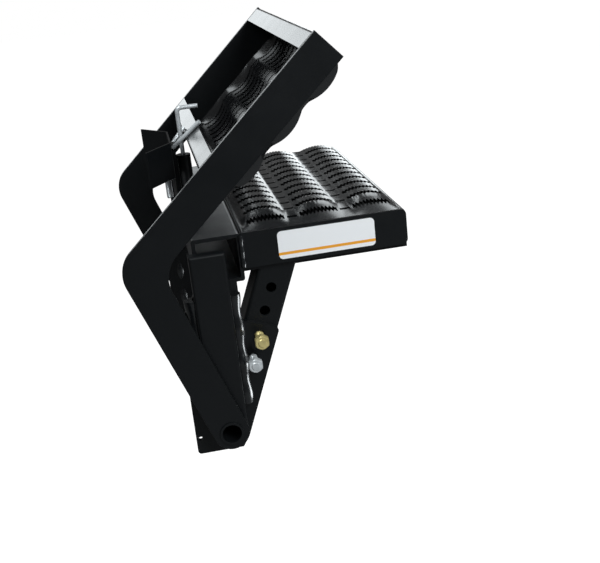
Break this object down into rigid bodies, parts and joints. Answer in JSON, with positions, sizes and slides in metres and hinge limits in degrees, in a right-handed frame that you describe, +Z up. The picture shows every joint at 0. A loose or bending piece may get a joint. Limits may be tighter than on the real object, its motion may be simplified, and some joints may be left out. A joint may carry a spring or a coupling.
{
  "type": "hitch receiver step",
  "caption": "Folding hitch receiver step: a fixed upper grip tread on braced legs and a lower grip tread on cranked arms, folded up over it, with a lock pin.",
  "frame": {"origin": "centre of the hitch pin hole in the shank", "axes": "+X towards the vehicle along the shank, +Y across along the hitch pin, +Z up"},
  "size_m": [0.324, 0.406, 0.4343],
  "materials": {
    "black_coat": "satin",
    "tread_coat": "gloss",
    "zinc": "satin",
    "label_face": "satin"
  },
  "bodies": {
    "frame": {"cross_tube": "black_coat", "hitch_shank": "black_coat", "side_plate_near": "black_coat", "side_plate_far": "black_coat", "leg_near": "black_coat", "leg_far": "black_coat", "brace_near": "black_coat", "brace_far": "black_coat", "upper_end_near": "black_coat", "upper_end_far": "black_coat", "bearer_near": "black_coat", "bearer_far": "black_coat", "pivot_tube": "black_coat", "pivot_spacers": "black_coat", "upper_tread": "tread_coat", "brace_bolts": "zinc", "brace_nuts": "zinc", "label": "label_face"},
    "folding_step": {"arm_near": "black_coat", "arm_far": "black_coat", "lower_tread": "tread_coat", "latch_barrel": "black_coat", "latch_bar": "black_coat", "latch_guard": "black_coat", "latch_stays": "zinc", "guard_tab": "black_coat", "guard_bolt": "zinc", "guard_nut": "zinc"},
    "lock": {"lock_pin": "zinc"}
  },
  "joints": [
    {"name": "fold", "type": "hinge", "parent": "frame", "child": "folding_step", "pos_m": [-0.1866, 0, -0.1465], "axis": [0, -1, 0], "range_deg": [0, 137.2]},
    {"name": "lock_slide", "type": "slide", "parent": "folding_step", "child": "lock", "axis": [0, 0, -1], "range_m": [0, 0.01]}
  ]
}
